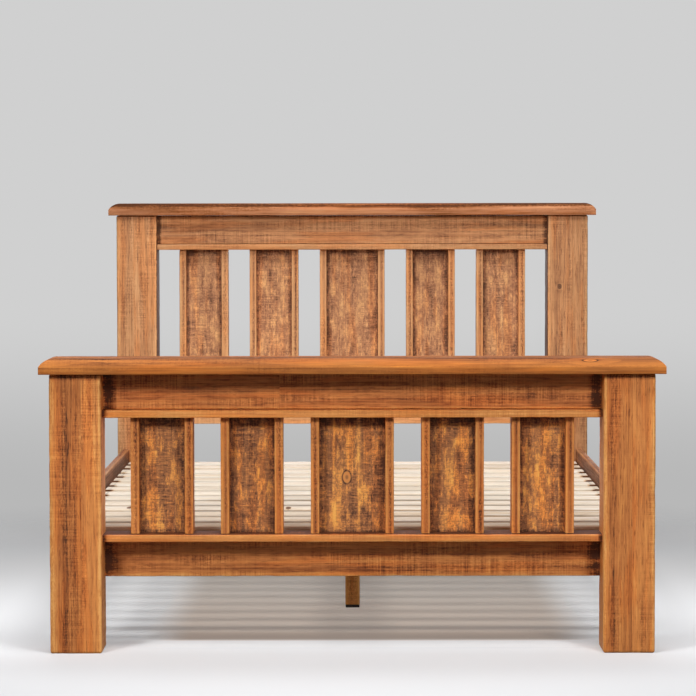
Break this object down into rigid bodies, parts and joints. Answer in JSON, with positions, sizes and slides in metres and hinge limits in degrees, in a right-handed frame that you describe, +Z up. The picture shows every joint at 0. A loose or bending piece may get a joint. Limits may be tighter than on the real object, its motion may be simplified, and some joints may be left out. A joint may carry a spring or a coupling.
{
  "type": "wooden bed frame",
  "caption": "Rustic rough-sawn pine bed frame with square posts, capped head and foot boards with upright panels, and a slatted base.",
  "frame": {"origin": "on the floor under the middle of the bed", "axes": "+Z up, +Y from the foot to the head, +X to the right when looking from the foot to the head"},
  "size_m": [1.68, 2.38, 1.215],
  "materials": {
    "stained_pine": "orange-brown stained rough-sawn pine, satin",
    "cap_pine": "orange-brown stained planed pine, satin",
    "rough_board": "dark stained rough-sawn boards with rubbed patches, matt",
    "slat_pine": "bare planed pine",
    "dark_steel": "dark coated steel",
    "leg_pad": "matt"
  },
  "bodies": {
    "root": {"centre_beam": "slat_pine", "centre_leg_foot": "stained_pine", "centre_leg_head": "stained_pine", "centre_leg_pad_foot": "leg_pad", "centre_leg_pad_head": "leg_pad", "foot_beam_hanger": "dark_steel", "foot_bolt_left": "dark_steel", "foot_bolt_right": "dark_steel", "foot_bottom_rail": "stained_pine", "foot_bracket_left": "dark_steel", "foot_bracket_right": "dark_steel", "foot_cap": "cap_pine", "foot_end_cleat": "stained_pine", "foot_ledge": "stained_pine", "foot_panel_1": "rough_board", "foot_panel_2": "rough_board", "foot_panel_3": "rough_board", "foot_panel_4": "rough_board", "foot_panel_5": "rough_board", "foot_post_left": "stained_pine", "foot_post_right": "stained_pine", "foot_top_rail": "stained_pine", "foot_upper_strip": "stained_pine", "head_beam_hanger": "dark_steel", "head_bolt_left": "dark_steel", "head_bolt_right": "dark_steel", "head_bracket_left": "dark_steel", "head_bracket_right": "dark_steel", "head_cap": "cap_pine", "head_cross_rail": "stained_pine", "head_end_cleat": "stained_pine", "head_ledge": "stained_pine", "head_lower_rail": "stained_pine", "head_panel_1": "rough_board", "head_panel_2": "rough_board", "head_panel_3": "rough_board", "head_panel_4": "rough_board", "head_panel_5": "rough_board", "head_post_left": "stained_pine", "head_post_right": "stained_pine", "head_top_rail": "stained_pine", "head_upper_strip": "stained_pine", "side_cleat_left": "slat_pine", "side_cleat_right": "slat_pine", "side_rail_left": "stained_pine", "side_rail_right": "stained_pine", "slat_01": "slat_pine", "slat_02": "slat_pine", "slat_03": "slat_pine", "slat_04": "slat_pine", "slat_05": "slat_pine", "slat_06": "slat_pine", "slat_07": "slat_pine", "slat_08": "slat_pine", "slat_09": "slat_pine", "slat_10": "slat_pine", "slat_11": "slat_pine", "slat_12": "slat_pine", "slat_13": "slat_pine", "slat_14": "slat_pine"}
  },
  "joints": []
}
